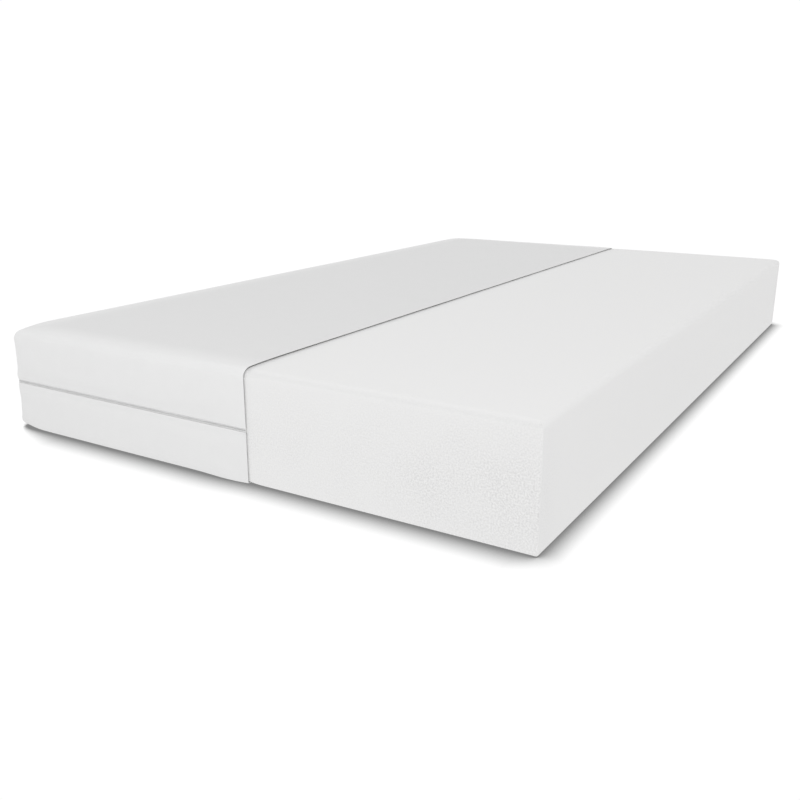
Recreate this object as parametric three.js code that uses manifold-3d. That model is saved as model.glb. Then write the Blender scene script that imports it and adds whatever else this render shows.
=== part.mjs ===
// Foam mattress, 120 x 200 x 22 cm, with its removable zipped cover cut away over the right-hand part.
// Millimetres, +Z up. X runs across the bed and Y along it; the closed side of the cover is at -X.
// The origin is the centre of the underside of the whole object.
//
// A single foam block lies in a two-part cloth cover. The halves of the cover meet at a coil zip that
// runs round the covered sides. The zip starts and ends on the long side, where its slider is parked.
import * as THREE from "three";
import { mergeVertices } from "three/addons/utils/BufferGeometryUtils.js";
import Module from "manifold-3d";

const wasm = await Module();
wasm.setup();

// ---------------------------------------------------------------- driving dimensions
const CORE_WIDTH = 1200;
const CORE_LENGTH = 2000;
const TOTAL_HEIGHT = 220;
const CLOTH = 2.5; // thickness of the cover's cloth
const CLEARANCE = 0.3; // between pieces that touch
const COVERED_WIDTH = 638; // of the foam, from its left face to the cover's cut edge
const SEAM_HEIGHT = 102; // of the zip's centre line above the floor
const GROOVE = 6.4; // opening between the two halves of the cover, which shows the zip

const FRONT_EASE = 1.3; // between the foam and the cover's wall at the front and the back
const SIDE_EASE = 1.5; // what the cover's long side stands off further, so that the slider fits

const BARE_EDGE = { plan: 5, low: 4, high: 14 }; // radii of the foam's cut edges
const COVERED_EDGE = { plan: 12, low: 6, high: 14 }; // the same where the cover pulls them in
const COVER_EDGE = { plan: 14, low: 9, high: 18 }; // the cover's radii, outside

// The zip, as distances out from the foam at the front and the back
const TAPE = { inner: 0.3, outer: 0.9, width: 13 };
const COIL = { inner: 1.2, outer: 2.8, width: 1.8 };
const COIL_GAP = 1.2; // between the two rows of coil, where the slider's post runs
const STOP_LENGTH = 3;
const BOTTOM_STOP_LENGTH = 4;

// The slider and its pull, in their own frame: a along the zip, b up, c out from the foam
const SLIDER = { length: 9, width: 5.8, plate: 1, backPlate: 0.5, topPlate: 4.6, corner: 1.6 };
const POST = { width: 0.5, length: 2.7, fromNose: 0.3 };
const CROWN = { length: 7.2, width: 1.6, leg: 0.8, space: 1.8 };
const PULL = { length: 24, width: 6, thickness: 1, arm: 1.1, window: 5, hole: 1.2 };
const PARK_Y = 890; // where the slider is parked, on the long side
const START_GAP = 16; // between the end of the zip and its start

const LABEL = { width: 28, height: 45, thickness: 0.5, y: -700, belowSeam: 7, corner: 2 };

const ARC_POINTS = 6; // facets in each quarter turn
const BEYOND = 60; // how far a cutter reaches past what it cuts

// ---------------------------------------------------------------- derived places
const CORE_HEIGHT = TOTAL_HEIGHT - 2 * (CLOTH + CLEARANCE);
const CORE_BOTTOM = CLOTH + CLEARANCE;
const CORE_TOP = CORE_BOTTOM + CORE_HEIGHT;
const CROWN_TOP = SLIDER.topPlate + SLIDER.plate + CROWN.space + CROWN.leg;
const CORE_LEFT = -CORE_WIDTH / 2 + CROWN_TOP / 2; // the slider's crown is the leftmost point
const CORE_RIGHT = CORE_LEFT + CORE_WIDTH;
const CORE_BACK = CORE_LENGTH / 2;
const CUT_X = CORE_LEFT + COVERED_WIDTH;
const WALL = { inner: FRONT_EASE, outer: FRONT_EASE + CLOTH };
const SLIDER_END_Y = PARK_Y + SLIDER.length / 2;

// ---------------------------------------------------------------- solids
function toSolid(geometry) {
  const bare = geometry.clone();
  bare.deleteAttribute("normal");
  bare.deleteAttribute("uv");
  const merged = mergeVertices(bare, 1e-3);
  return new wasm.Manifold(
    new wasm.Mesh({
      numProp: 3,
      vertProperties: new Float32Array(merged.attributes.position.array),
      triVerts: new Uint32Array(merged.index.array),
    }),
  );
}

function toGeometry(solid) {
  const { vertProperties, triVerts } = solid.getMesh();
  const geometry = new THREE.BufferGeometry();
  geometry.setAttribute("position", new THREE.BufferAttribute(vertProperties, 3));
  geometry.setIndex(new THREE.BufferAttribute(triVerts, 1));
  geometry.computeVertexNormals();
  return geometry;
}

function boxSolid(low, high) {
  const size = high.map((value, axis) => value - low[axis]);
  const centre = high.map((value, axis) => (value + low[axis]) / 2);
  return toSolid(new THREE.BoxGeometry(...size).translate(...centre));
}

// A rectangle from (u0, v0) to (u1, v1) with its two lower and its two upper corners rounded.
function roundedRectangle(u0, v0, u1, v1, low, high = low) {
  const shape = new THREE.Shape();
  shape.moveTo(u0 + low, v0);
  shape.lineTo(u1 - low, v0);
  shape.absarc(u1 - low, v0 + low, low, -Math.PI / 2, 0);
  shape.lineTo(u1, v1 - high);
  shape.absarc(u1 - high, v1 - high, high, 0, Math.PI / 2);
  shape.lineTo(u0 + high, v1);
  shape.absarc(u0 + high, v1 - high, high, Math.PI / 2, Math.PI);
  shape.lineTo(u0, v0 + low);
  shape.absarc(u0 + low, v0 + low, low, Math.PI, Math.PI * 1.5);
  return shape;
}

function extrude(shape, depth) {
  return new THREE.ExtrudeGeometry(shape, {
    depth,
    bevelEnabled: false,
    curveSegments: ARC_POINTS,
  });
}

const ALONG_X = new THREE.Matrix4().makeBasis(
  new THREE.Vector3(0, 1, 0),
  new THREE.Vector3(0, 0, 1),
  new THREE.Vector3(1, 0, 0),
);
const ALONG_Y = new THREE.Matrix4().makeBasis(
  new THREE.Vector3(1, 0, 0),
  new THREE.Vector3(0, 0, 1),
  new THREE.Vector3(0, -1, 0),
);

// A block whose upright edges have the radius plan, and whose other edges the radii low and high:
// what its three outlines, extruded along X, Y and Z, have in common.
function softBlock([x0, y0, z0], [x1, y1, z1], { plan, low, high }) {
  const fromAbove = extrude(roundedRectangle(x0, y0, x1, y1, plan), z1 - z0 + 2 * BEYOND);
  const fromFront = extrude(roundedRectangle(x0, z0, x1, z1, low, high), y1 - y0 + 2 * BEYOND);
  const fromSide = extrude(roundedRectangle(y0, z0, y1, z1, low, high), x1 - x0 + 2 * BEYOND);
  fromAbove.translate(0, 0, z0 - BEYOND);
  fromFront.applyMatrix4(ALONG_Y).translate(0, y1 + BEYOND, 0);
  fromSide.applyMatrix4(ALONG_X).translate(x0 - BEYOND, 0, 0);
  return toSolid(fromAbove).intersect(toSolid(fromFront)).intersect(toSolid(fromSide));
}

// The line of the cover in plan, at a distance out from the foam: from the cut edge at the front,
// round the closed side, to the cut edge at the back.
function coverLine(path, distance, clockwise) {
  const left = CORE_LEFT - SIDE_EASE - distance;
  const back = CORE_BACK + distance;
  const radius = COVER_EDGE.plan - WALL.outer + distance;
  const [side, quarter] = clockwise ? [-1, Math.PI / 2] : [1, -Math.PI / 2];
  path.lineTo(CUT_X, side * back);
  path.lineTo(left + radius, side * back);
  path.absarc(left + radius, side * (back - radius), radius, -quarter, Math.PI, clockwise);
  path.lineTo(left, -side * (back - radius));
  path.absarc(left + radius, -side * (back - radius), radius, Math.PI, quarter, clockwise);
  path.lineTo(CUT_X, -side * back);
}

// A flat band that follows the cover round its three sides.
function sideBand({ inner, outer }, zLow, zHigh) {
  const shape = new THREE.Shape();
  shape.moveTo(CUT_X, -CORE_BACK - outer);
  coverLine(shape, outer, true);
  coverLine(shape, inner, false);
  return toSolid(extrude(shape, zHigh - zLow).translate(0, 0, zLow));
}

function keepBetweenY(solid, low, high) {
  const reach = CORE_WIDTH + BEYOND;
  return solid.intersect(boxSolid([-reach, low, -BEYOND], [reach, high, TOTAL_HEIGHT + BEYOND]));
}

// ---------------------------------------------------------------- materials
function cloth(colour, roughness = 0.9, metalness = 0) {
  return new THREE.MeshStandardMaterial({ color: colour, roughness, metalness });
}
const materials = {
  foam: cloth(0xf1f1f0, 0.95),
  cover: cloth(0xeeeeee),
  tape: cloth(0xdcdcdb),
  coil: cloth(0xd2d2d2, 0.5),
  metal: cloth(0xb8babd, 0.35, 1),
  label: cloth(0xf4f4f2, 0.6),
};

const mattress = new THREE.Group();

function addPiece(name, solid, material, parent = mattress) {
  const mesh = new THREE.Mesh(toGeometry(solid), material);
  mesh.name = name;
  parent.add(mesh);
}

// ---------------------------------------------------------------- foam block
function foamCore() {
  const bare = softBlock(
    [CORE_LEFT, -CORE_BACK, CORE_BOTTOM],
    [CORE_RIGHT, CORE_BACK, CORE_TOP],
    BARE_EDGE,
  );
  const covered = softBlock(
    [CORE_LEFT, -CORE_BACK, CORE_BOTTOM],
    [CUT_X + BEYOND, CORE_BACK, CORE_TOP],
    COVERED_EDGE,
  );
  const reach = CORE_LENGTH;
  const rightOfCut = boxSolid([CUT_X, -reach, -BEYOND], [reach, reach, TOTAL_HEIGHT + BEYOND]);
  const leftOfCut = boxSolid([-reach, -reach, -BEYOND], [CUT_X, reach, TOTAL_HEIGHT + BEYOND]);
  return bare.intersect(rightOfCut).add(covered.intersect(leftOfCut));
}

// ---------------------------------------------------------------- cover
function coverShell() {
  const inside = {
    plan: COVER_EDGE.plan - CLOTH,
    low: COVER_EDGE.low - CLOTH,
    high: COVER_EDGE.high - CLOTH,
  };
  const outer = softBlock(
    [CORE_LEFT - SIDE_EASE - WALL.outer, -CORE_BACK - WALL.outer, 0],
    [CUT_X + BEYOND, CORE_BACK + WALL.outer, TOTAL_HEIGHT],
    COVER_EDGE,
  );
  const cavity = softBlock(
    [CORE_LEFT - SIDE_EASE - WALL.inner, -CORE_BACK - WALL.inner, CLOTH],
    [CUT_X + 2 * BEYOND, CORE_BACK + WALL.inner, TOTAL_HEIGHT - CLOTH],
    inside,
  );
  return outer.subtract(cavity);
}

function coverHalf(zLow, zHigh) {
  const reach = CORE_LENGTH;
  return coverShell().intersect(boxSolid([-reach, -reach, zLow], [CUT_X, reach, zHigh]));
}

// ---------------------------------------------------------------- zip
// Heights of the strip that starts half the coil gap from the zip's centre line; side is 1 or -1.
function besideSeam(side, width) {
  const near = SEAM_HEIGHT + (side * COIL_GAP) / 2;
  const far = near + side * width;
  return [Math.min(near, far), Math.max(near, far)];
}

function zipTape(side) {
  return sideBand(TAPE, ...besideSeam(side, TAPE.width));
}

// The long run of coil, from the cut edge at the front to the parked slider.
function coilRun(side) {
  const coil = sideBand(COIL, ...besideSeam(side, COIL.width));
  return keepBetweenY(coil, -CORE_LENGTH, SLIDER_END_Y);
}

// The short run, from the start of the zip round to the cut edge at the back.
function coilStart(side) {
  const coil = sideBand(COIL, ...besideSeam(side, COIL.width));
  const low = SLIDER_END_Y + START_GAP + BOTTOM_STOP_LENGTH + CLEARANCE;
  return keepBetweenY(coil, low, CORE_LENGTH);
}

function topStop(side) {
  const [zLow, zHigh] = besideSeam(side, COIL.width);
  const low = SLIDER_END_Y + CLEARANCE;
  return keepBetweenY(sideBand(COIL, zLow, zHigh), low, low + STOP_LENGTH);
}

function bottomStop() {
  const [, zHigh] = besideSeam(1, COIL.width);
  const [zLow] = besideSeam(-1, COIL.width);
  const low = SLIDER_END_Y + START_GAP;
  return keepBetweenY(sideBand(COIL, zLow, zHigh), low, low + BOTTOM_STOP_LENGTH);
}

// ---------------------------------------------------------------- slider and pull
// Their frame sits on the foam's left face: a runs towards the front, b up and c outwards.
const zipFrame = new THREE.Group();
zipFrame.position.set(CORE_LEFT, PARK_Y, SEAM_HEIGHT);
zipFrame.quaternion.setFromRotationMatrix(
  new THREE.Matrix4().makeBasis(
    new THREE.Vector3(0, -1, 0),
    new THREE.Vector3(0, 0, 1),
    new THREE.Vector3(-1, 0, 0),
  ),
);
mattress.add(zipFrame);

function plate(c) {
  const a = SLIDER.length / 2;
  const b = SLIDER.width / 2;
  const outline = roundedRectangle(-a, -b, a, b, SLIDER.corner);
  return toSolid(extrude(outline, SLIDER.plate).translate(0, 0, c));
}

function sliderBody() {
  const top = SLIDER.topPlate + SLIDER.plate;
  const nose = -SLIDER.length / 2 + POST.fromNose;
  const post = boxSolid(
    [nose, -POST.width / 2, SLIDER.backPlate],
    [nose + POST.length, POST.width / 2, SLIDER.topPlate + SLIDER.plate / 2],
  );
  const crownBlock = boxSolid(
    [-CROWN.length / 2, -CROWN.width / 2, top - SLIDER.plate / 2],
    [CROWN.length / 2, CROWN.width / 2, CROWN_TOP],
  );
  const crownSpace = boxSolid(
    [-CROWN.length / 2 + CROWN.leg, -CROWN.width, top],
    [CROWN.length / 2 - CROWN.leg, CROWN.width, top + CROWN.space],
  );
  const crown = crownBlock.subtract(crownSpace);
  return plate(SLIDER.backPlate).add(plate(SLIDER.topPlate)).add(post).add(crown);
}

// The pull turns about a bar that runs through the crown. At rest it lies over the closed zip.
function pullTab() {
  const axis = SLIDER.topPlate + SLIDER.plate + CROWN.space / 2;
  const half = PULL.thickness / 2;
  const outline = roundedRectangle(-half, -PULL.width / 2, PULL.length, PULL.width / 2, half);
  const window = new THREE.Path();
  const side = PULL.width / 2 - PULL.arm;
  window.moveTo(half, -side);
  window.lineTo(half, side);
  window.lineTo(PULL.window, side);
  window.lineTo(PULL.window, -side);
  window.closePath();
  const cordHole = new THREE.Path();
  cordHole.absarc(PULL.length - 2 * PULL.hole, 0, PULL.hole, 0, 2 * Math.PI, true);
  outline.holes.push(window, cordHole);
  return toSolid(extrude(outline, PULL.thickness).translate(0, 0, axis - half));
}

// ---------------------------------------------------------------- care label
function careLabel() {
  const low = SEAM_HEIGHT - LABEL.belowSeam - LABEL.height;
  const outline = roundedRectangle(
    LABEL.y - LABEL.width / 2,
    low,
    LABEL.y + LABEL.width / 2,
    low + LABEL.height,
    LABEL.corner,
  );
  const face = CORE_LEFT - SIDE_EASE - WALL.outer - CLEARANCE;
  const flat = extrude(outline, LABEL.thickness).applyMatrix4(ALONG_X);
  return toSolid(flat.translate(face - LABEL.thickness, 0, 0));
}

// ---------------------------------------------------------------- assembly
addPiece("foam_core", foamCore(), materials.foam);
addPiece("cover_upper", coverHalf(SEAM_HEIGHT + GROOVE / 2, TOTAL_HEIGHT), materials.cover);
addPiece("cover_lower", coverHalf(0, SEAM_HEIGHT - GROOVE / 2), materials.cover);
for (const [half, side] of [
  ["upper", 1],
  ["lower", -1],
]) {
  addPiece(`zip_tape_${half}`, zipTape(side), materials.tape);
  addPiece(`zip_coil_${half}`, coilRun(side), materials.coil);
  addPiece(`zip_coil_start_${half}`, coilStart(side), materials.coil);
  addPiece(`zip_top_stop_${half}`, topStop(side), materials.metal);
}
addPiece("zip_bottom_stop", bottomStop(), materials.metal);
addPiece("zip_slider", sliderBody(), materials.metal, zipFrame);
addPiece("zip_pull", pullTab(), materials.metal, zipFrame);
addPiece("care_label", careLabel(), materials.label);

export default mattress;
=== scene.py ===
"""Looks of a foam mattress whose zipped cover is cut away over the right-hand part.

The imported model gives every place, in metres. The foam and each half of the cover are "wraps": a flat
panel, and a skirt that follows the panel's rounded outline down or up the sides. The zip follows the
same outline. The cover's skirts are filled out by a short cloth simulation.
"""

import math

import bmesh
import bpy
import numpy as np
from mathutils import Matrix, Vector, noise
from mathutils.bvhtree import BVHTree


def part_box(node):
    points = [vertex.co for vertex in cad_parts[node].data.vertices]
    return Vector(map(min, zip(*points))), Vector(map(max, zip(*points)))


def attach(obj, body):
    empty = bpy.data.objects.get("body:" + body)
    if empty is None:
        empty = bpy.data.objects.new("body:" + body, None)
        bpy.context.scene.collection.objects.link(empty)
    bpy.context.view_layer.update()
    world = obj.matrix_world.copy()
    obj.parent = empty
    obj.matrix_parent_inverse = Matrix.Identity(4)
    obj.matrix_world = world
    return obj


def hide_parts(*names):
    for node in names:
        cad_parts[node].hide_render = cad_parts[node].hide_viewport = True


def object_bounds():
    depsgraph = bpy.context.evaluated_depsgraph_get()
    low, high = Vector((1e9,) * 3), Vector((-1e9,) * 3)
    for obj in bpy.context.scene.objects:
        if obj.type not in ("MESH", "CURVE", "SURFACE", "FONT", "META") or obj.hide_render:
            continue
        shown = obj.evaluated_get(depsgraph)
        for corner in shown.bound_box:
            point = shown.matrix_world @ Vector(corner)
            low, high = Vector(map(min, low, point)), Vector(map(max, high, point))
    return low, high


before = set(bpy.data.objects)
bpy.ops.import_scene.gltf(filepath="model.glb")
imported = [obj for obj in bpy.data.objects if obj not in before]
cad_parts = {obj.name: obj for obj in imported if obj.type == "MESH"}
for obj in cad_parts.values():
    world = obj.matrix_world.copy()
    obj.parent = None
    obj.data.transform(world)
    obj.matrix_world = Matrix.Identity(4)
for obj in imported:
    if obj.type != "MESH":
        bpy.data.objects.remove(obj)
cad_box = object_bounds()
MM = 0.001

# ---------------------------------------------------------------- places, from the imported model
FOAM_LOW, FOAM_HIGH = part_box("foam_core")
UPPER_LOW, UPPER_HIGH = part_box("cover_upper")
LOWER_LOW, LOWER_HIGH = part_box("cover_lower")
CUT_X = UPPER_HIGH.x
SEAM_Z = (UPPER_LOW.z + LOWER_HIGH.z) / 2
SIDE_EASE = (FOAM_LOW.x - UPPER_LOW.x) - (FOAM_LOW.y - UPPER_LOW.y)  # the long side stands off more
COVER_LEFT = FOAM_LOW.x - SIDE_EASE

# ---------------------------------------------------------------- driving dimensions
CLOTH = 1.3 * MM  # thickness of the knitted cloth
TOP_EDGE = 14 * MM  # radius of the cover's and the foam's top edges
ROUND_EDGE = 20 * MM  # the same at the cut and at the covered corners
LOW_EDGE = 2.5 * MM  # radius of the cover's bottom edges
LOW_CORNER_EDGE = 18 * MM  # the same at its corners
CORNER = 10.2 * MM  # radius of its upright corners, measured on the foam
PANEL_INSET = 22 * MM  # of the flat panels' borders from the sides
PANEL_GAP = 0.2 * MM  # between the foam's top and the cover

# How far the middle of the cover's cloth stands out from the foam
WALL = 4.0 * MM  # on the upper half's sides
LOWER_WALL = 3.6 * MM  # on the lower half's sides, just below the zip
LOW_FLARE = 3.2 * MM  # how much further at their bottom
TOP_TUCK = 1.8 * MM  # how much less at the upper half's top corners
CUT_WALL = 1.5 * MM  # where the upper half is cut off
LOWER_CUT_WALL = 1.0 * MM  # where the lower half is cut off
CUT_REACH = 28 * MM  # how far from the cut edge the edges' radii and the wall differ
UPPER_LIP = 2.45 * MM  # where the upper half folds in at the zip
LOWER_LIP = 2.75 * MM  # where the lower half does
UPPER_LIP_REACH = 5 * MM  # how far from the fold the upper half draws in
LOWER_LIP_REACH = 3 * MM  # and the lower half

FOLD = CLOTH / 2  # radius of the fold at the zip
STITCH_INSET = 4.5 * MM  # of the sewn row from the fold
LIP = 12 * MM  # how far from the fold the wall starts to draw in
LIP_STATIONS = (9 * MM, 6 * MM, STITCH_INSET, 3 * MM, 1.6 * MM, 0.0)  # distances from the fold
HEM = 9 * MM  # of cloth turned in behind the fold
STITCH_PITCH = 3.2 * MM
STITCH_LENGTH = 2.5 * MM
THREAD = 0.22 * MM  # radius of the sewing thread

CROWN = {"front": 3.0 * MM, "back": 1.0 * MM, "left": -1.0 * MM, "right": 1.5 * MM}  # fall of the top
CROWN_REACH = 38 * MM  # how far in from the sides that fades
CORNER_FALL = 3.5 * MM  # further fall of the top at the covered corners
CORNER_REACH = 40 * MM  # how far from those corners that fades
DIP = 1.5 * MM  # of the foam's top beside the cover's cut edge
SIDE_DIP = 1.2 * MM  # the same of its ends
DIP_REACH = 10 * MM  # how far from the cut edge that fades, and three times as far under the cover
CUT_FLARE = 1.8 * MM  # how far the cover's cut edge strays over the foam at the front

BULGE = 2.4 * MM  # the most that the cloth may swell in the simulation
PRESSURE = 6  # of the air in the simulation
SWELL_FRAMES = 20
CLOTH_WAVE, CLOTH_WAVE_HEIGHT = 0.16, 0.35 * MM  # size and height of the cloth's unevenness
FOAM_WAVE, FOAM_WAVE_HEIGHT = 0.28, 0.3 * MM  # the same of the foam

FOAM_CORNER = 12 * MM  # radius of the foam's upright corners under the cover
FOAM_BARE_CORNER = 4 * MM  # the same of its bare ones
FOAM_LOW_EDGE = 6 * MM  # radius of the foam's bottom edges under the cover
FOAM_BARE_LOW_EDGE = 2 * MM  # the same of its bare ones
FOAM_LOW_CORNER_EDGE = 16 * MM  # the same of its covered corners
FOAM_SWELL = 2 * MM  # of its bare long side beyond the model's
FOAM_SAG = 0.8 * MM  # of its underside below the model's

COIL_DEPTH = 1.6 * MM  # of a row of zip coil, out from the tape
COIL_PITCH = 2.0 * MM
COIL_WIRE = 0.32 * MM  # radius of the coil's wire
TAPE = 0.2 * MM  # thickness of the zip's tape
TAPE_INSET = 0.5 * MM  # of its middle from the outer face of the model's tape
CASTING_BEVEL = 0.16 * MM  # on the edges of the zip's metal parts
RIBBON = 0.3 * MM  # thickness of the care label
RIBBON_GAP = 0.35 * MM  # from the cover to the middle of its ribbon
RIBBON_CURL = 0.9 * MM  # of its loose end

# How finely the pieces are divided
EDGE_STEPS = 8  # steps round an edge
FOLD_STEPS = 5  # steps round the fold
FOAM_STEPS = (110, 180)  # across the bed, and along it
FOAM_WALL_STEPS = 11
CUT_STATIONS = 25  # more stations on the foam along the cut
COVER_STEPS = (60, 160)
COVER_WALL_STEPS = 8
TAPE_STEPS, TAPE_TURN, TAPE_ROWS = (90, 220), 10, 12
FINE_STEPS, FINE_TURN = (640, 2000), 24  # for the lines that stitches and coils follow
ROUND_SIDES = 6  # of a stitch or a coil's wire
COIL_TURN_STEPS = 9
WELD = 0.01 * MM  # points closer than this are one


# ---------------------------------------------------------------- wraps
class Outline:
    """A rounded rectangle in plan, as stations that start at the right end of the front side.

    They run along the front, round the left side and along the back. A closed outline also has its
    right side and right corners, and an open one stops at its right end. along holds the steps across
    the bed and along it, turn the steps of a corner, and gather a place across the bed, how far to
    either side of it stations are added, and their number.
    """

    def __init__(
        self, left, right, front, back, radius, right_radius=None, along=COVER_STEPS, turn=6, gather=None
    ):
        self.left, self.right, self.front, self.back = left, right, front, back
        self.radius, self.right_radius = radius, right_radius
        self.closed = right_radius is not None
        self.across, self.down = [ease(n, self.closed) for n in along]
        if gather is not None:
            place, reach, number = gather
            extra = (right - place + np.linspace(-reach, reach, number)) / (right - left)
            away = (self.across < extra[0]) | (self.across > extra[-1])
            self.across = np.sort(np.concatenate([self.across[away], extra]))
        self.turn = np.linspace(0, 1, turn + 1)[1:-1]
        corners, long_sides = (4, 2) if self.closed else (2, 1)
        self.count = 2 * len(self.across) + long_sides * len(self.down) + corners * len(self.turn)

    def corner(self, sx, sy, offset):
        """Centre and radius of a corner of the outline pushed out by offset."""
        edge_x, radius = (self.left, self.radius) if sx < 0 else (self.right, self.right_radius)
        inset = np.maximum(radius, -offset)
        edge_y = self.front if sy < 0 else self.back
        return edge_x - sx * inset, edge_y - sy * inset, np.maximum(radius + offset, 0)

    def right_end(self, sy, offset):
        return self.corner(1, sy, offset)[0] if self.closed else self.right + 0 * offset

    def points(self, offset=0.0):
        """The stations of the outline pushed out by offset, which may differ from one to the next."""
        offset = np.broadcast_to(np.asarray(offset, float), (self.count,))
        start, found = 0, []

        def side(t, from_end, to_end):
            nonlocal start
            o = offset[start : start + len(t)]
            start += len(t)
            a, b = from_end(o), to_end(o)
            found.append(np.column_stack([a[0] + (b[0] - a[0]) * t, a[1] + (b[1] - a[1]) * t]))

        def arc(sx, sy, first, last):
            nonlocal start
            o = offset[start : start + len(self.turn)]
            start += len(self.turn)
            x, y, r = self.corner(sx, sy, o)
            angle = np.radians(first + (last - first) * self.turn)
            found.append(np.column_stack([x + r * np.cos(angle), y + r * np.sin(angle)]))

        side(
            self.across,
            lambda o: (self.right_end(-1, o), self.front - o),
            lambda o: (self.corner(-1, -1, o)[0], self.front - o),
        )
        arc(-1, -1, 270, 180)
        side(
            self.down,
            lambda o: (self.left - o, self.corner(-1, -1, o)[1]),
            lambda o: (self.left - o, self.corner(-1, 1, o)[1]),
        )
        arc(-1, 1, 180, 90)
        side(
            1 - self.across[::-1],
            lambda o: (self.corner(-1, 1, o)[0], self.back + o),
            lambda o: (self.right_end(1, o), self.back + o),
        )
        if self.closed:
            arc(1, 1, 90, 0)
            side(
                1 - self.down[::-1],
                lambda o: (self.right + o, self.corner(1, 1, o)[1]),
                lambda o: (self.right + o, self.corner(1, -1, o)[1]),
            )
            arc(1, -1, 0, -90)
        return np.vstack(found)


def ease(count, both_ends):
    """Fractions from 0 to 1 that lie closer together near the start, or near both ends."""
    t = np.linspace(0, 1, count + 1)
    crowding, power = 0.1, 1.15
    return t - crowding * np.sin(2 * np.pi * t) / (2 * np.pi) if both_ends else t**power


def grid_faces(rows, columns, closed=False):
    """Quads of a grid of rows by columns points; closed joins the last column to the first."""
    row, column = np.meshgrid(
        np.arange(rows - 1), np.arange(columns if closed else columns - 1), indexing="ij"
    )
    following = (column + 1) % columns
    quads = [
        row * columns + column,
        row * columns + following,
        (row + 1) * columns + following,
        (row + 1) * columns + column,
    ]
    return np.stack(quads, -1).reshape(-1, 4)


def make_object(name, grids, weld=False):
    """A mesh of one or more grids, each (points, texture coordinates, closed). weld joins them."""
    mesh = bpy.data.meshes.new(name)
    points, faces, coords = [], [], []
    start = 0
    for grid, uv, closed in grids:
        quads = grid_faces(*grid.shape[:2], closed)
        flat_uv = uv.reshape(-1, 2)
        points.append(grid.reshape(-1, 3))
        faces.append(quads + start)
        coords.append(flat_uv[quads.reshape(-1)])
        start += grid.shape[0] * grid.shape[1]
    points, faces, coords = np.vstack(points), np.vstack(faces), np.vstack(coords)
    mesh.from_pydata(points.tolist(), [], faces.tolist())
    layer = mesh.uv_layers.new(name="cut")
    layer.data.foreach_set("uv", coords.astype(np.float32).ravel())
    obj = bpy.data.objects.new(name, mesh)
    bpy.context.scene.collection.objects.link(obj)
    if weld:
        edit = bmesh.new()
        edit.from_mesh(mesh)
        bmesh.ops.remove_doubles(edit, verts=edit.verts, dist=WELD)
        bmesh.ops.recalc_face_normals(edit, faces=edit.faces)
        edit.to_mesh(mesh)
        edit.free()
    mesh.shade_smooth()
    return obj


def lengths_along(points):
    steps = np.linalg.norm(np.diff(points, axis=0), axis=1)
    return np.concatenate([[0], np.cumsum(steps)])


def skirt(outline, offsets, heights):
    """Rings round the outline: one row of offsets and heights for each ring."""
    rings = []
    for offset, height in zip(offsets, heights):
        plan = outline.points(offset)
        rings.append(np.column_stack([plan, np.broadcast_to(height, (outline.count,))]))
    rings = np.array(rings)
    across = lengths_along(outline.points(0.0))
    along = lengths_along(rings[:, outline.count // 2])
    uv = np.stack(np.meshgrid(along, across, indexing="ij")[::-1], -1)
    return rings, uv, outline.closed


def panel(outline, inset, height):
    """The flat grid inside the ring at that inset, where the outline's corners are sharp."""
    ring = outline.points(-inset)
    x = ring[: len(outline.across), 0]
    first = len(outline.across) + len(outline.turn)
    y = ring[first : first + len(outline.down), 1]
    gx, gy = np.meshgrid(x, y, indexing="ij")
    points = np.stack([gx, gy, np.full_like(gx, height)], -1)
    return points, points[..., :2].copy(), False


def crown(points, places):
    """Lowers the points near the top, the more the nearer they are to a side or a covered corner."""
    drop = np.zeros(len(points))
    for side, place in places.items():
        away = np.abs(points[:, 0 if side in ("left", "right") else 1] - place)
        drop += CROWN[side] * np.exp(-away / CROWN_REACH)
    for end in (places["front"], places["back"]):
        away = np.hypot(points[:, 0] - places["left"], points[:, 1] - end)
        drop += CORNER_FALL * np.exp(-away / CORNER_REACH)
    points[:, 2] -= drop * near_top(points[:, 2])
    return points


def near_top(z):
    """1 at the top, falling to 0 at the zip."""
    return np.clip((z - SEAM_Z) / (FOAM_HIGH.z - SEAM_Z), 0, 1) ** 2


def unevenness(points, size, seed):
    """A smooth random value from -1 to 1 at each point, with bumps of about that size."""
    shift = Vector((seed * 7.1, seed * 3.3, seed * 1.7))
    return np.array([noise.noise(Vector(p) / size + shift) for p in points])


def get_points(obj):
    points = np.zeros(len(obj.data.vertices) * 3, np.float32)
    obj.data.vertices.foreach_get("co", points)
    return points.reshape(-1, 3).astype(float)


def set_points(obj, points):
    obj.data.vertices.foreach_set("co", points.astype(np.float32).ravel())
    obj.data.update()


def get_normals(obj):
    normals = np.zeros(len(obj.data.vertices) * 3, np.float32)
    obj.data.vertex_normals.foreach_get("vector", normals)
    return normals.reshape(-1, 3).astype(float)


def add_modifier(obj, kind, **settings):
    modifier = obj.modifiers.new(kind.lower(), kind)
    for key, value in settings.items():
        setattr(modifier, key, value)


def apply_modifiers(obj):
    graph = bpy.context.evaluated_depsgraph_get()
    mesh = bpy.data.meshes.new_from_object(obj.evaluated_get(graph), depsgraph=graph)
    obj.modifiers.clear()
    obj.data = mesh
    mesh.shade_smooth()


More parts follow.
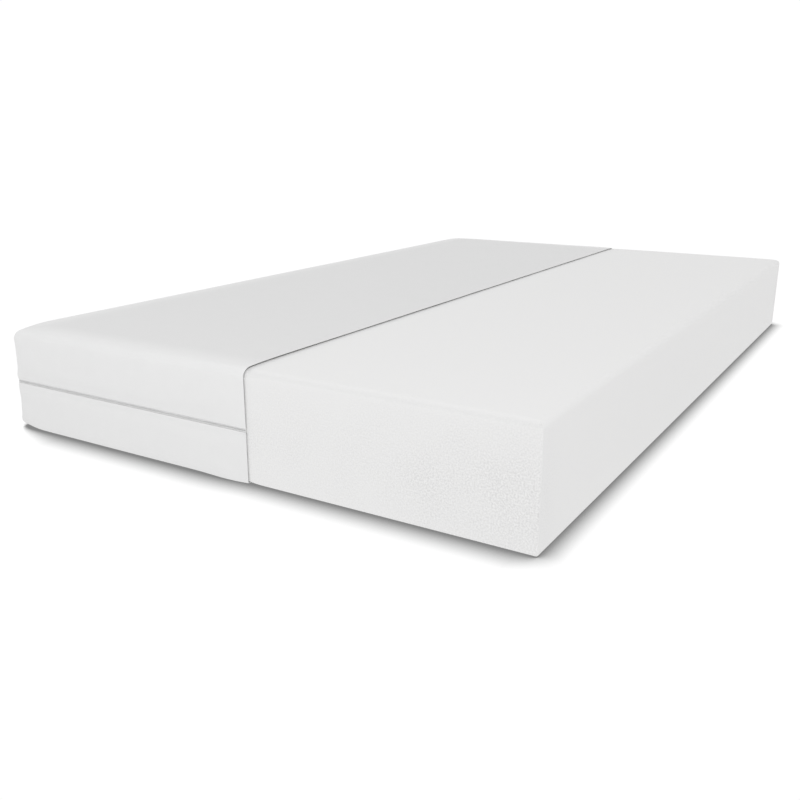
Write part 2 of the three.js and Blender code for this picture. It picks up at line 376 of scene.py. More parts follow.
# ---------------------------------------------------------------- materials
class Nodes:
    """Short ways to build a material's node tree around its Principled shader."""

    def __init__(self, name, colour, roughness, **constants):
        self.material = bpy.data.materials.new(name)
        self.material.use_nodes = True
        self.material.diffuse_color = (*colour, 1)
        self.tree = self.material.node_tree
        self.shader = self.tree.nodes["Principled BSDF"]
        self.shader.inputs["Base Color"].default_value = (*colour, 1)
        self.shader.inputs["Roughness"].default_value = roughness
        for key, value in constants.items():
            self.shader.inputs[key.replace("_", " ")].default_value = value

    def add(self, kind, settings=None, **inputs):
        node = self.tree.nodes.new(kind)
        for key, value in (settings or {}).items():
            setattr(node, key, value)
        for key, value in inputs.items():
            socket = node.inputs[int(key[1:])] if key[0] == "i" and key[1:].isdigit() else node.inputs[key]
            if isinstance(value, bpy.types.NodeSocket):
                self.tree.links.new(value, socket)
            else:
                socket.default_value = value
        return node

    def math(self, operation, a, b=0.0, clamp=False):
        settings = {"operation": operation, "use_clamp": clamp}
        return self.add("ShaderNodeMath", settings, i0=a, i1=b).outputs[0]

    def place(self):
        return self.add("ShaderNodeTexCoord").outputs["Object"]

    def cut(self):
        """Texture coordinates on the flat cloth, in metres, as two values."""
        uv = self.add("ShaderNodeTexCoord").outputs["UV"]
        parts = self.add("ShaderNodeSeparateXYZ", i0=uv)
        return parts.outputs[0], parts.outputs[1]

    def noise(self, scale, detail=2.0, roughness=0.5):
        node = self.add(
            "ShaderNodeTexNoise",
            Vector=self.place(),
            Scale=scale,
            Detail=detail,
            Roughness=roughness,
        )
        return node.outputs["Fac"]

    def remap(self, value, low, high, to_low, to_high, smooth=False):
        settings = {"interpolation_type": "SMOOTHSTEP" if smooth else "LINEAR"}
        node = self.add("ShaderNodeMapRange", settings, i0=value, i1=low, i2=high, i3=to_low, i4=to_high)
        return node.outputs[0]

    def mix(self, factor, first, second):
        node = self.add("ShaderNodeMix", {"data_type": "RGBA"})
        for socket, value in zip((0, 6, 7), (factor, first, second)):
            if isinstance(value, bpy.types.NodeSocket):
                self.tree.links.new(value, node.inputs[socket])
            else:
                node.inputs[socket].default_value = value
        return node.outputs[2]

    def bump(self, height, distance, strength=1.0, under=None):
        node = self.add("ShaderNodeBump", Height=height, Distance=distance, Strength=strength)
        if under is not None:
            self.tree.links.new(under, node.inputs["Normal"])
        return node.outputs["Normal"]

    def finish(self, colour=None, normal=None, roughness=None):
        for name, value in (("Base Color", colour), ("Normal", normal), ("Roughness", roughness)):
            if value is not None:
                self.tree.links.new(value, self.shader.inputs[name])
        return self.material


def grey(value, warmth=0.0):
    return (value * (1 + warmth), value, value * (1 - warmth))


def rgba(colour):
    return (*colour, 1.0)


def painted_cut_shade(n, upward):
    """Painted shade: how much darker the foam's top is painted beside the cover's cut edge, which stands
    up from it.
    """
    on_top = n.remap(upward, 0.6, 0.95, 0.0, 1.0)
    rays, most = 48, 0.2
    clear = n.add("ShaderNodeAmbientOcclusion", {"samples": rays}, Distance=40 * MM).outputs["AO"]
    beside = n.math("MULTIPLY", n.math("SUBTRACT", 1.0, clear), rays, clamp=True)
    return n.math("MULTIPLY", on_top, n.math("MULTIPLY", beside, most))


def painted_end_shade(n, right, upward, at_end):
    """Painted shade: how much darker the foam's ends are painted along their rounded top edges, where
    light falls strongly, and towards the right.
    """
    edge_most, right_most = 0.04, 0.02
    bend = n.remap(upward, 0.2, 1.0, -1.0, 1.0)
    rounded = n.math("SUBTRACT", 1.0, n.math("MULTIPLY", bend, bend))
    rounded = n.math("MULTIPLY", rounded, edge_most)
    return n.math("MULTIPLY", at_end, n.math("ADD", rounded, n.math("MULTIPLY", right, right_most)))


def speckle(n, right, at_end, xyz):
    """How strong the foam's grain is: most on its ends, towards the right and away from the top."""
    below_top = n.remap(xyz.outputs[2], FOAM_HIGH.z, FOAM_LOW.z + 100 * MM, 0.15, 1.0)
    above_floor = n.remap(xyz.outputs[2], FOAM_LOW.z, FOAM_LOW.z + 70 * MM, 0.65, 1.0)
    down = n.math("MULTIPLY", below_top, above_floor)
    on_end = n.math("MULTIPLY", n.math("MULTIPLY", right, down), at_end)
    to_end = n.math("SUBTRACT", FOAM_HIGH.y, n.math("ABSOLUTE", xyz.outputs[1]))
    on_side = n.math("MULTIPLY", n.remap(to_end, 0.0, 90 * MM, 0.4, 0.05), down)
    patches = n.remap(n.noise(11.0), 0.3, 0.65, 0.45, 1.0)
    return n.math("MULTIPLY", n.math("MAXIMUM", on_end, on_side), patches)


def foam_material():
    """White open-cell foam with a fine light and dark grain, coarsest near the bare upright corner, and
    painted shade beside the cover's cut edge and along its ends' rounded top edges.
    """
    light, mid, dark = grey(0.88, 0.002), grey(0.803, 0.002), grey(0.62, 0.003)
    n = Nodes("foam", mid, 0.95, Sheen_Weight=0.08, Sheen_Roughness=0.6)
    xyz = n.add("ShaderNodeSeparateXYZ", i0=n.place())
    facing = n.add("ShaderNodeSeparateXYZ", i0=n.add("ShaderNodeNewGeometry").outputs["Normal"])
    at_end = n.remap(n.math("ABSOLUTE", facing.outputs[1]), 0.2, 0.8, 0.0, 1.0)
    right = n.remap(xyz.outputs[0], CUT_X, FOAM_HIGH.x, 0.05, 1.0)
    amount = speckle(n, right, at_end, xyz)
    grain = n.remap(n.noise(330.0, 2.0, 0.6), 0.32, 0.68, 0.0, 1.0)
    shade = n.mix(amount, rgba(mid), n.mix(grain, rgba(dark), rgba(light)))
    upward = facing.outputs[2]
    # painted shade: beside the cover's cut edge, and along the ends' rounded top edges and towards the
    # right
    darker = n.math("ADD", painted_cut_shade(n, upward), painted_end_shade(n, right, upward, at_end))
    shade = n.mix(darker, shade, rgba(grey(0.0)))
    cells = n.add("ShaderNodeTexVoronoi", Vector=n.place(), Scale=900.0, Randomness=1.0)
    relief = n.bump(cells.outputs["Distance"], 0.25 * MM, 0.5)
    relief = n.bump(n.noise(420.0, 3.0), 0.3 * MM, 0.4, relief)
    relief = n.bump(n.math("MULTIPLY", grain, amount), 0.5 * MM, 0.5, relief)
    return n.finish(shade, relief)


def knit_material():
    """Fine jersey of V-shaped loops less than a millimetre wide, with painted light: the flat panels are
    painted darker than the borders, and the borders darker towards the bottom.
    """
    middle, clouded, shaded_low_border, lit_high_border = grey(0.735), grey(0.70), grey(0.775), grey(0.805)
    loop_width, loop_height, border_width = 0.9 * MM, 0.7 * MM, 75 * MM
    n = Nodes("cover_knit", middle, 0.85, Sheen_Weight=0.05, Sheen_Roughness=0.5)
    u, v = n.cut()
    column = n.math("PINGPONG", n.math("DIVIDE", u, loop_width), 0.5)
    row = n.math("ADD", n.math("DIVIDE", v, loop_height), column)
    loop = n.math("PINGPONG", row, 0.5)
    height = n.math("ADD", n.math("MULTIPLY", loop, 0.8), n.math("MULTIPLY", column, 1.2))
    xyz = n.add("ShaderNodeSeparateXYZ", i0=n.place())
    from_ends = n.math("SUBTRACT", FOAM_HIGH.y, n.math("ABSOLUTE", xyz.outputs[1]))
    from_side = n.math("SUBTRACT", xyz.outputs[0], COVER_LEFT)
    inward = n.math("MINIMUM", from_ends, from_side)
    flat = n.remap(inward, 0.0, border_width, 0.0, 1.0, smooth=True)
    rise = n.remap(xyz.outputs[2], FOAM_LOW.z, FOAM_HIGH.z, 0.0, 1.0)
    # painted light: flat panels darker, borders lighter and darker towards the bottom, for how light falls
    # on them
    lit_and_shaded_tone = n.mix(flat, n.mix(rise, rgba(shaded_low_border), rgba(lit_high_border)), rgba(middle))
    clouds = n.noise(26.0, 3.0)
    shade = n.mix(n.remap(clouds, 0.3, 0.7, 0.0, 0.12), lit_and_shaded_tone, rgba(clouded))
    relief = n.bump(clouds, 1.2 * MM, 0.12)
    relief = n.bump(height, 0.25 * MM, 0.35, relief)
    return n.finish(shade, relief)


def tape_material():
    """Woven zip tape: a fine twill."""
    groove, ridge, twill_width = grey(0.80), grey(0.88), 0.8 * MM
    n = Nodes("zip_tape", ridge, 0.85, Sheen_Weight=0.1)
    u, v = n.cut()
    twill = n.math("PINGPONG", n.math("DIVIDE", n.math("ADD", u, v), twill_width), 0.5)
    shade = n.mix(n.math("MULTIPLY", twill, 2.0), rgba(groove), rgba(ridge))
    return n.finish(shade, n.bump(twill, 0.2 * MM, 0.6))


def coil_material():
    """Smooth nylon wire."""
    n = Nodes("zip_coil", grey(0.86), 0.4, Specular_IOR_Level=0.5)
    return n.finish(None, n.bump(n.noise(2500.0), 0.04 * MM, 0.3))


def metal_material():
    """Plated die casting with a faint cloudiness."""
    n = Nodes("zip_metal", (0.63, 0.64, 0.66), 0.32, Metallic=1.0)
    cloud = n.noise(600.0, 3.0)
    return n.finish(None, n.bump(cloud, 0.05 * MM, 0.2), n.remap(cloud, 0.3, 0.7, 0.26, 0.42))


def thread_material():
    """Spun sewing thread."""
    n = Nodes("thread", grey(0.80), 0.6, Sheen_Weight=0.2)
    return n.finish(None, n.bump(n.noise(3000.0), 0.05 * MM, 0.5))


def label_material():
    """Satin ribbon: long floats along its length."""
    n = Nodes("label_ribbon", grey(0.82, 0.01), 0.5, Sheen_Weight=0.2)
    _, along = n.cut()
    float_row = n.math("PINGPONG", n.math("DIVIDE", along, 0.35 * MM), 0.5)
    return n.finish(None, n.bump(float_row, 0.08 * MM, 0.5))


# ---------------------------------------------------------------- foam block
def foam_block():
    """The block: crowned on top, with rounder edges where the cover pulls them in."""
    outline = Outline(
        FOAM_LOW.x,
        FOAM_HIGH.x + FOAM_SWELL,
        FOAM_LOW.y,
        FOAM_HIGH.y,
        FOAM_CORNER,
        FOAM_BARE_CORNER,
        along=FOAM_STEPS,
        gather=(CUT_X, 4 * DIP_REACH, CUT_STATIONS),
    )
    bottom = FOAM_LOW.z - FOAM_SAG
    grids = [
        panel(outline, PANEL_INSET, FOAM_HIGH.z),
        skirt(outline, *foam_profile(outline, bottom)),
        panel(outline, PANEL_INSET, bottom),
    ]
    block = make_object("foam_block", grids, weld=True)
    points = get_points(block)
    places = {"left": FOAM_LOW.x, "right": FOAM_HIGH.x, "front": FOAM_LOW.y, "back": FOAM_HIGH.y}
    points = press_in(crown(points, places))
    wave = unevenness(points, FOAM_WAVE, seed=1) * FOAM_WAVE_HEIGHT
    flat_below = 30 * MM
    above = np.clip((points[:, 2] - FOAM_LOW.z) / flat_below, 0, 1)
    points -= get_normals(block) * (np.abs(wave) * above)[:, None]
    set_points(block, points)
    add_modifier(block, "SUBSURF", levels=1, render_levels=1)
    apply_modifiers(block)
    block.data.materials.append(foam_material())
    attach(block, "core")
    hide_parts("foam_core")


def foam_profile(outline, bottom):
    """Offsets and heights of the block's sides, from the top panel down to the bottom one."""
    plan = outline.points(0.0)
    corner = near_corner(plan)
    top_radius = TOP_EDGE + (ROUND_EDGE - TOP_EDGE) * np.maximum(near_cut(plan[:, 0]), corner)
    bare_from, bare_over = CUT_X - 15 * MM, 45 * MM
    bare = np.clip((plan[:, 0] - bare_from) / bare_over, 0, 1)
    low_radius = FOAM_LOW_EDGE + (FOAM_BARE_LOW_EDGE - FOAM_LOW_EDGE) * bare * bare * (3 - 2 * bare)
    low_radius += (FOAM_LOW_CORNER_EDGE - FOAM_LOW_EDGE) * corner
    offsets, heights = [-PANEL_INSET], [FOAM_HIGH.z]
    for angle in np.linspace(0, np.pi / 2, EDGE_STEPS + 1):
        offsets.append(top_radius * (np.sin(angle) - 1))
        heights.append(FOAM_HIGH.z - top_radius * (1 - np.cos(angle)))
    for t in np.linspace(0, 1, FOAM_WALL_STEPS + 1)[1:-1]:
        offsets.append(0.0)
        heights.append((FOAM_HIGH.z - top_radius) * (1 - t) + (bottom + low_radius) * t)
    for angle in np.linspace(0, np.pi / 2, EDGE_STEPS + 1):
        offsets.append(low_radius * (np.cos(angle) - 1))
        heights.append(bottom + low_radius * (1 - np.sin(angle)))
    offsets.append(-PANEL_INSET)
    heights.append(bottom)
    return offsets, heights


def press_in(points):
    """Presses the foam in along the cover's cut edge, on top and at both ends."""
    beyond = points[:, 0] - CUT_X
    beside_cut = np.where(beyond > 0, np.exp(-beyond / DIP_REACH), np.exp(beyond / (3 * DIP_REACH)))
    points[:, 2] -= DIP * beside_cut * near_top(points[:, 2])
    at_ends = np.clip(1 - (FOAM_HIGH.y - np.abs(points[:, 1])) / PANEL_INSET, 0, 1)
    points[:, 1] -= np.sign(points[:, 1]) * SIDE_DIP * beside_cut * at_ends
    return points


# ---------------------------------------------------------------- cover
def cover_outline(turn=EDGE_STEPS, along=COVER_STEPS):
    return Outline(COVER_LEFT, CUT_X, FOAM_LOW.y, FOAM_HIGH.y, CORNER, along=along, turn=turn)


def near_cut(x):
    """1 at the cover's cut edge, and 0 away from it."""
    return np.exp(-(((CUT_X - x) / CUT_REACH) ** 2))


def near_corner(points):
    """1 at the covered upright corners, and 0 away from them."""
    away = np.hypot(points[:, 0] - COVER_LEFT, FOAM_HIGH.y - np.abs(points[:, 1]))
    return np.exp(-((away / CORNER_REACH) ** 2))


def fold_height(up):
    """Height where the cloth of one half folds in at the zip, and 1 or -1 for the way to its panel."""
    return (UPPER_LOW.z + 2 * FOLD, 1) if up else (LOWER_HIGH.z - 2 * FOLD, -1)


def cover_profile(outline, up, face):
    """Offsets and heights of one half's cloth, from its panel to the hem turned in at the zip."""
    plan = outline.points(0.0)
    cut, corner = near_cut(plan[:, 0]), near_corner(plan)
    fold_z, sign = fold_height(up)
    if up:
        wall = WALL + (CUT_WALL - WALL) * cut
        far_wall = wall - TOP_TUCK * corner
        edge = TOP_EDGE + (ROUND_EDGE - TOP_EDGE) * np.maximum(cut, corner)
        lip, lip_reach = UPPER_LIP, UPPER_LIP_REACH
    else:
        wall = LOWER_WALL + (LOWER_CUT_WALL - LOWER_WALL) * cut
        far_wall = wall + LOW_FLARE * (1 - cut)
        edge = LOW_EDGE + (LOW_CORNER_EDGE - LOW_EDGE) * corner
        lip, lip_reach = LOWER_LIP, LOWER_LIP_REACH
    offsets, heights = [-PANEL_INSET], [face]
    for angle in np.linspace(0, np.pi / 2, EDGE_STEPS + 1):
        offsets.append(far_wall - edge * (1 - np.sin(angle)))
        heights.append(face - sign * edge * (1 - np.cos(angle)))
    start = face - sign * edge
    stop = fold_z + sign * LIP
    for t in np.linspace(0, 1, COVER_WALL_STEPS + 1)[1:]:
        offsets.append(far_wall + (wall - far_wall) * t)
        heights.append(start + (stop - start) * t)
    for distance in LIP_STATIONS:
        share = np.exp(-distance / lip_reach)
        offsets.append(wall + (lip - wall) * share)
        heights.append(fold_z + sign * distance)
    for angle in np.linspace(0, np.pi, FOLD_STEPS + 1)[1:]:
        offsets.append(lip - FOLD * (1 - np.cos(angle)))
        heights.append(fold_z - sign * FOLD * np.sin(angle))
    for distance in (HEM / 3, HEM):
        offsets.append(lip - 2 * FOLD)
        heights.append(fold_z + sign * distance)
    return offsets, heights


def cover_half(name, up):
    """One half of the cover, filled out by air and given its thickness."""
    outline = cover_outline()
    face = FOAM_HIGH.z + PANEL_GAP + CLOTH / 2 if up else LOWER_LOW.z + CLOTH / 2
    grids = [panel(outline, PANEL_INSET, face), skirt(outline, *cover_profile(outline, up, face))]
    half = make_object(name, grids, weld=True)
    points = get_points(half)
    if up:
        points = crown(points, {"left": COVER_LEFT, "front": FOAM_LOW.y, "back": FOAM_HIGH.y})
    clear_of_foam = 2 * MM
    in_front = np.clip((FOAM_LOW.y - points[:, 1]) / clear_of_foam, 0, 1)
    points[:, 0] += CUT_FLARE * near_cut(points[:, 0]) * in_front
    set_points(half, points)
    free, flat = freedom(points, up, face)
    swell(half, free * (1 - flat) * (1 - near_cut(points[:, 0])))
    points = get_points(half)
    wave = unevenness(points, CLOTH_WAVE, seed=2 if up else 3) * CLOTH_WAVE_HEIGHT
    points += get_normals(half) * (wave * free * (1 if up else 1 - flat))[:, None]
    set_points(half, points)
    add_modifier(half, "SOLIDIFY", thickness=CLOTH, offset=0)
    add_modifier(half, "SUBSURF", levels=1, render_levels=1)
    apply_modifiers(half)
    half.data.materials.append(MATERIALS["knit"])
    return half


def freedom(points, up, face):
    """How free each point is of the zip, and how far it belongs to the flat panel, from 0 to 1."""
    held, freed_over = 5 * MM, 15 * MM  # up from the fold
    edge_depth, border = 4 * MM, 30 * MM  # down from the panel, and in from its sides
    fold_z, sign = fold_height(up)
    free = np.clip((sign * (points[:, 2] - fold_z) - held) / freed_over, 0, 1)
    flat = np.clip(sign * (points[:, 2] - face) / edge_depth + 1, 0, 1)
    inward = np.minimum(points[:, 0] - COVER_LEFT, FOAM_HIGH.y - np.abs(points[:, 1]))
    return free, flat * np.clip(inward / border, 0, 1)


def swell(obj, loose):
    """Cloth simulation: air pressure fills out the loose cloth, and the rest is pinned."""
    rest = get_points(obj)
    pins = obj.vertex_groups.new(name="pins")
    for index, value in enumerate(1 - loose):
        if value > 0.001:
            pins.add([index], float(value), "REPLACE")
    cloth = obj.modifiers.new("cloth", "CLOTH")
    settings = cloth.settings
    settings.quality = 5
    settings.mass = 0.3
    settings.tension_stiffness = 40
    settings.compression_stiffness = 40
    settings.shear_stiffness = 20
    settings.bending_stiffness = 4
    settings.use_pressure = True
    settings.uniform_pressure_force = PRESSURE
    settings.vertex_group_mass = "pins"
    settings.effector_weights.gravity = 0
    cloth.collision_settings.use_collision = False
    cloth.point_cache.frame_start = 1
    cloth.point_cache.frame_end = SWELL_FRAMES
    scene = bpy.context.scene
    for number in range(1, SWELL_FRAMES + 1):
        scene.frame_set(number)
    graph = bpy.context.evaluated_depsgraph_get()
    result = obj.evaluated_get(graph).to_mesh()
    moved = np.zeros(len(rest) * 3, np.float32)
    result.vertices.foreach_get("co", moved)
    obj.evaluated_get(graph).to_mesh_clear()
    obj.modifiers.clear()
    scene.frame_set(1)
    change = moved.reshape(-1, 3) - rest
    distance = np.linalg.norm(change, axis=1, keepdims=True)
    print(obj.name, "cloth moved at most", round(float(distance.max()) / MM, 2), "mm")
    change *= np.minimum(1, BULGE / np.maximum(distance, 1e-9))
    set_points(obj, rest + change)


def dress_cover():
    """Both halves of the cover with their sewn rows. Gives back the lower one, for the label."""
    upper = cover_half("cover_upper_cloth", True)
    lower = cover_half("cover_lower_cloth", False)
    for half, node in ((upper, "cover_upper"), (lower, "cover_lower")):
        rows = stitch_row(half, node)
        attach(half, "cover")
        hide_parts(node)
    return lower


def stitch_row(half, node):
    """A row of lockstitches beside the zip, as short rounded lengths of thread on the cloth."""
    fold_z, sign = fold_height(node == "cover_upper")
    z = fold_z + sign * STITCH_INSET
    line = cover_outline(turn=FINE_TURN, along=FINE_STEPS).points(WALL)
    along = lengths_along(line)
    cloth = BVHTree.FromObject(half, bpy.context.evaluated_depsgraph_get())
    grids = []
    for begin in np.arange(STITCH_PITCH, along[-1] - STITCH_PITCH, STITCH_PITCH):
        ends = [begin, begin + STITCH_LENGTH / 2, begin + STITCH_LENGTH]
        x, y = np.interp(ends, along, line[:, 0]), np.interp(ends, along, line[:, 1])
        heading = np.array([x[2] - x[0], y[2] - y[0], 0.0])
        heading /= np.linalg.norm(heading)
        found, normal, _, _ = cloth.find_nearest(Vector((x[1], y[1], z)))
        grids.append(stitch(np.array(found), heading, normal))
    rows = make_object(f"{node}_stitches", grids)
    close_ends(rows)
    rows.data.materials.append(MATERIALS["thread"])
    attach(rows, "cover")
    return rows


def stitch(middle, heading, normal):
    """One stitch: a tube that rises out of the cloth, runs along the heading and dips back in."""
    share = np.array([0, 0.04, 0.2, 0.5, 0.8, 0.96, 1.0])
    thickness = np.array([0.15, 0.6, 0.95, 1, 0.95, 0.6, 0.15]) * THREAD
    lift = np.array([-0.8, -0.5, 0.3, 0.7, 0.3, -0.5, -0.8]) * THREAD
    out = np.array([normal.x, normal.y, 0.0])
    out -= heading * out.dot(heading)
    out /= max(np.linalg.norm(out), 1e-9)
    centres = middle + np.outer((share - 0.5) * STITCH_LENGTH, heading) + np.outer(lift, out)
    turn = np.linspace(0, 2 * np.pi, ROUND_SIDES + 1)[:-1]
    ring = np.cos(turn)[:, None] * out + np.sin(turn)[:, None] * np.array([0.0, 0.0, 1.0])
    tube = centres[:, None] + thickness[:, None, None] * ring[None]
    return tube, np.zeros((*tube.shape[:2], 2)), True


# ---------------------------------------------------------------- zip
def zip_tape(node):
    """A woven strip behind the row of coil."""
    low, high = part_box(node)
    middle = FOAM_LOW.y - low.y - TAPE_INSET
    outline = cover_outline(turn=TAPE_TURN, along=TAPE_STEPS)
    across = np.linspace(low.z, high.z, TAPE_ROWS)
    inner, outer = middle - TAPE / 2, middle + TAPE / 2
    offsets = [*([outer] * TAPE_ROWS), *([inner] * TAPE_ROWS), outer]
    heights = [*across, *across[::-1], across[0]]
    tape = make_object(f"{node}_weave", [skirt(outline, offsets, heights)], weld=True)
    close_ends(tape)
    tape.data.materials.append(MATERIALS["tape"])
    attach(tape, "cover")
    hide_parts(node)
    length = lengths_along(outline.points(middle))[-1]


def close_ends(obj):
    edit = bmesh.new()
    edit.from_mesh(obj.data)
    bmesh.ops.holes_fill(edit, edges=[e for e in edit.edges if e.is_boundary])
    bmesh.ops.recalc_face_normals(edit, faces=edit.faces)
    edit.to_mesh(obj.data)
    edit.free()


def path_at(line, along, spots):
    """Points and headings at distances along a line of points."""
    place = np.column_stack([np.interp(spots, along, line[:, i]) for i in (0, 1)])
    heading = np.gradient(place, axis=0)
    heading /= np.linalg.norm(heading, axis=1, keepdims=True)
    return place, heading


def coil_row(node):
    """One row of zip coil: a flattened helix of nylon wire along the outline."""
    low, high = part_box(node)
    long_run = low.y < 0  # from the front cut edge to the slider; the short run starts the zip
    outer = FOAM_LOW.y - low.y if long_run else high.y - FOAM_HIGH.y
    line = cover_outline(turn=FINE_TURN, along=FINE_STEPS).points(outer - COIL_DEPTH / 2)
    along = lengths_along(line)
    long_side = (line[:, 1] > 0) & (line[:, 0] < COVER_LEFT)
    if long_run:
        first, last = 0.0, np.interp(high.y, line[long_side, 1], along[long_side])
    else:
        first, last = np.interp(low.y, line[long_side, 1], along[long_side]), along[-1]
    first, last = first + COIL_WIRE, last - COIL_WIRE
    turns = int((last - first) / COIL_PITCH)
    handed = 1 if (low.z + high.z) / 2 > SEAM_Z else -1
    angle = np.linspace(0, 2 * np.pi * turns, turns * COIL_TURN_STEPS + 1) * handed
    place, heading = path_at(line, along, np.linspace(first, last, len(angle)))
    out = np.column_stack([-heading[:, 1], heading[:, 0]])
    out *= np.sign(np.sum(out * (place - np.array([CUT_X, 0.0])), axis=1, keepdims=True))
    half_depth, half_width = COIL_DEPTH / 2 - COIL_WIRE, (high.z - low.z) / 2 - COIL_WIRE
    plan = place + out * (half_depth * np.sin(angle))[:, None]
    centre = np.column_stack([plan, (low.z + high.z) / 2 + half_width * np.cos(angle)])
    tube = tube_along(centre, COIL_WIRE)
    coil = make_object(f"{node}_wire", [(tube, np.zeros((*tube.shape[:2], 2)), True)])
    close_ends(coil)
    coil.data.materials.append(MATERIALS["coil"])
    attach(coil, "cover")
    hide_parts(node)


def tube_along(centre, radius):
    """Rings of a tube round a line of points."""
    ahead = np.gradient(centre, axis=0)
    ahead /= np.linalg.norm(ahead, axis=1, keepdims=True)
    slanted = np.array([0.31, 0.27, 0.91])
    one_way = np.cross(ahead, slanted)
    one_way /= np.linalg.norm(one_way, axis=1, keepdims=True)
    other_way = np.cross(ahead, one_way)
    turn = np.linspace(0, 2 * np.pi, ROUND_SIDES + 1)[:-1][None, :, None]
    ring = np.cos(turn) * one_way[:, None] + np.sin(turn) * other_way[:, None]
    return centre[:, None] + radius * ring


def metal_piece(node, body):
    """A CAD casting with its edges rounded."""
    piece = bpy.data.objects.new(f"{node}_cast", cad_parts[node].data.copy())
    bpy.context.scene.collection.objects.link(piece)
    edit = bmesh.new()
    edit.from_mesh(piece.data)
    bmesh.ops.remove_doubles(edit, verts=edit.verts, dist=WELD)
    bmesh.ops.dissolve_limit(
        edit,
        angle_limit=math.radians(1),
        verts=edit.verts,
        edges=edit.edges,
        use_dissolve_boundaries=False,
    )
    edit.to_mesh(piece.data)
    edit.free()
    add_modifier(
        piece,
        "BEVEL",
        width=CASTING_BEVEL,
        segments=3,
        limit_method="ANGLE",
        angle_limit=math.radians(35),
    )
    apply_modifiers(piece)
    piece.data.materials.clear()
    piece.data.materials.append(MATERIALS["metal"])
    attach(piece, body)
    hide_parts(node)


# ---------------------------------------------------------------- care label
def care_label(lower):
    """A blank ribbon sewn on along its top edge; its loose end curls away from the cover a little."""
    low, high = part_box("care_label")
    columns, rows = 15, 25
    cloth = BVHTree.FromObject(lower, bpy.context.evaluated_depsgraph_get())
    outside = cad_box[0].x - 0.1
    y = np.linspace(low.y, high.y, columns)
    z = np.linspace(high.z, low.z, rows)
    points = np.zeros((rows, columns, 3))
    for i in range(rows):
        curl = RIBBON_CURL * (i / (rows - 1)) ** 3
        for j in range(columns):
            found, _, _, _ = cloth.ray_cast(Vector((outside, y[j], z[i])), Vector((1, 0, 0)))
            points[i, j] = (found.x - RIBBON_GAP - curl, y[j], z[i])
    points[..., 0] = points[..., 0].mean(axis=1, keepdims=True)
    uv = np.stack(np.meshgrid(z, y, indexing="ij")[::-1], -1)
    label = make_object("care_label_ribbon", [(points, uv, False)])
    add_modifier(label, "SOLIDIFY", thickness=RIBBON, offset=0)
    add_modifier(label, "SUBSURF", levels=1, render_levels=1)
    apply_modifiers(label)
    label.data.materials.append(label_material())
    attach(label, "cover")
    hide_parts("care_label")


# ---------------------------------------------------------------- studio
# Strength of the surroundings, as the heights from and to (0 level, 1 overhead), and the values there
HORIZON_FALL = (0.13, 0.28, 1.02, 0.80)
ZENITH_RISE = (0.4, 0.85, 0.0, 0.22)
FLOOR_REACH = 60.0
FLOOR_DROP = 0.2 * MM  # of the floor below the cover's underside
KEY_PLACE, KEY_TARGET = (0.9, -2.7, 1.2), (0.1, -1.0, 0.1)
CAMERA_PLACE = (1.6496, -1.1277, 0.6106)  # from the foam's front left bottom corner
CAMERA_TURNS = (31.43, 90 - 16.85, 0.066)  # degrees: to the left, up from straight down, and roll


def studio():
    """White floor and surroundings, a soft key light from the front and a camera at eye height."""
    scene = bpy.context.scene
    scene.view_settings.view_transform = "Standard"
    surroundings(scene)
    floor()
    key = bpy.data.lights.new("key", "AREA")
    key.shape = "DISK"
    key.size = 1.6
    key.energy = 7.0
    lamp = bpy.data.objects.new("key", key)
    scene.collection.objects.link(lamp)
    aim(lamp, Vector(KEY_PLACE), Vector(KEY_TARGET))
    camera = bpy.data.objects.new("camera", bpy.data.cameras.new("camera"))
    scene.collection.objects.link(camera)
    camera.data.sensor_width = 36.0
    camera.data.lens = 39.6
    turn, tilt, roll = (math.radians(angle) for angle in CAMERA_TURNS)
    x, y, z = CAMERA_PLACE
    camera.matrix_world = (
        Matrix.Translation((FOAM_LOW.x + x, FOAM_LOW.y + y, z))
        @ Matrix.Rotation(turn, 4, "Z")
        @ Matrix.Rotation(tilt, 4, "X")
        @ Matrix.Rotation(roll, 4, "Z")
    )
    scene.camera = camera


def surroundings(scene):
    """White light from all round, weaker above the horizon and stronger again overhead."""
    world = bpy.data.worlds.new("studio")
    scene.world = world
    world.use_nodes = True
    tree = world.node_tree
    background = tree.nodes["Background"]
    place = tree.nodes.new("ShaderNodeTexCoord")
    parts = tree.nodes.new("ShaderNodeSeparateXYZ")
    total = tree.nodes.new("ShaderNodeMath")
    tree.links.new(place.outputs["Generated"], parts.inputs[0])
    for index, band in enumerate((HORIZON_FALL, ZENITH_RISE)):
        ramp = tree.nodes.new("ShaderNodeMapRange")
        for socket, value in zip((1, 2, 3, 4), band):
            ramp.inputs[socket].default_value = value
        tree.links.new(parts.outputs[2], ramp.inputs[0])
        tree.links.new(ramp.outputs[0], total.inputs[index])
    tree.links.new(total.outputs[0], background.inputs["Strength"])
    background.inputs["Color"].default_value = (1, 1, 1, 1)


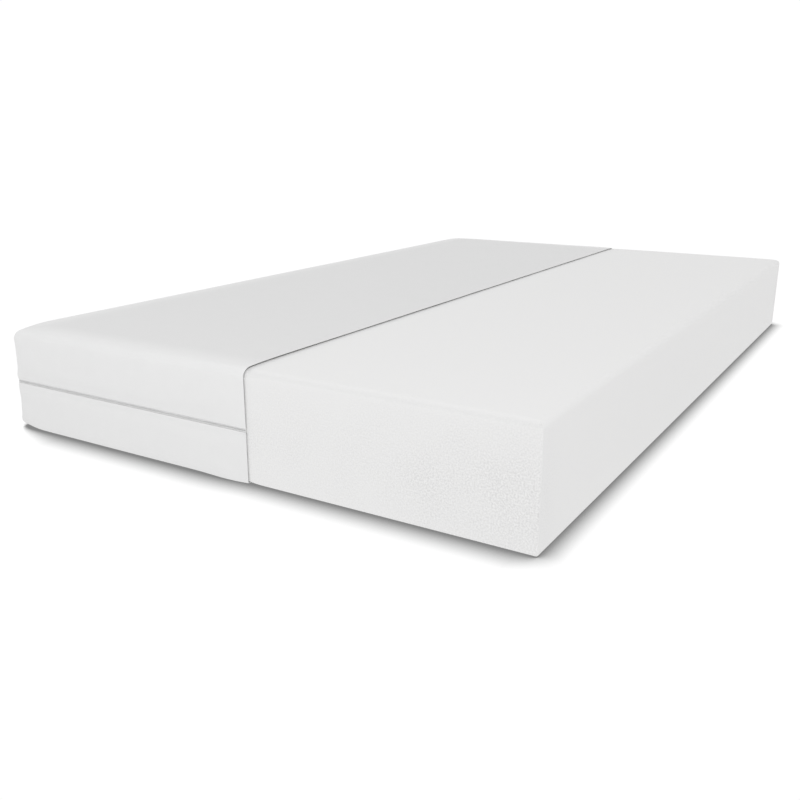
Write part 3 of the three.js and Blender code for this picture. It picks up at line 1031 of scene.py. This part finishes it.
def floor():
    mesh = bpy.data.meshes.new("floor")
    reach = FLOOR_REACH
    corners = [(-reach, -reach, 0), (reach, -reach, 0), (reach, reach, 0), (-reach, reach, 0)]
    mesh.from_pydata(corners, [], [(0, 1, 2, 3)])
    mesh.materials.append(floor_material())
    plane = bpy.data.objects.new("floor", mesh)
    bpy.context.scene.collection.objects.link(plane)
    plane.location.z = -FLOOR_DROP


def aim(obj, place, target):
    obj.location = place
    obj.rotation_euler = (target - place).to_track_quat("-Z", "Y").to_euler()


def floor_material():
    """A white floor that glows, with a painted soft shadow where something stands on it, but lights it
    evenly.
    """
    wide, narrow, under_cover = 62 * MM, 42 * MM, 8 * MM  # how far the darkening reaches
    n = Nodes("floor", grey(0.9), 1.0)
    across = n.add("ShaderNodeSeparateXYZ", i0=n.place()).outputs[0]
    right_reach = n.remap(across, FOAM_HIGH.x - 30 * MM, FOAM_HIGH.x + 10 * MM, wide, narrow)
    from_left = n.math("ABSOLUTE", n.math("SUBTRACT", across, COVER_LEFT))
    left_reach = n.remap(from_left, 0.0, 140 * MM, under_cover, wide)
    reach = n.math("MINIMUM", left_reach, right_reach)
    # painted shadow: to the camera the floor's glow darkens near things standing on it; to other rays it
    # glows evenly
    near = n.add("ShaderNodeAmbientOcclusion", {"samples": 16}, Distance=reach).outputs["AO"]
    glow_with_painted_shadow = n.remap(near, 0.5, 1.0, 0.24, 1.02)
    seen = n.add("ShaderNodeLightPath").outputs["Is Camera Ray"]
    strength = n.add("ShaderNodeMix", None, i0=seen, i2=0.925, i3=glow_with_painted_shadow).outputs[0]
    light = n.add("ShaderNodeEmission", Color=(1, 1, 1, 1), Strength=strength)
    n.tree.links.new(light.outputs[0], n.tree.nodes["Material Output"].inputs["Surface"])
    return n.material


# ---------------------------------------------------------------- assembly
MATERIALS = {
    "knit": knit_material(),
    "tape": tape_material(),
    "coil": coil_material(),
    "metal": metal_material(),
    "thread": thread_material(),
}
studio()
foam_block()
lower_half = dress_cover()
for half_name in ("upper", "lower"):
    zip_tape(f"zip_tape_{half_name}")
    coil_row(f"zip_coil_{half_name}")
    coil_row(f"zip_coil_start_{half_name}")
    metal_piece(f"zip_top_stop_{half_name}", "cover")
metal_piece("zip_bottom_stop", "cover")
metal_piece("zip_slider", "slider")
metal_piece("zip_pull", "pull")
care_label(lower_half)
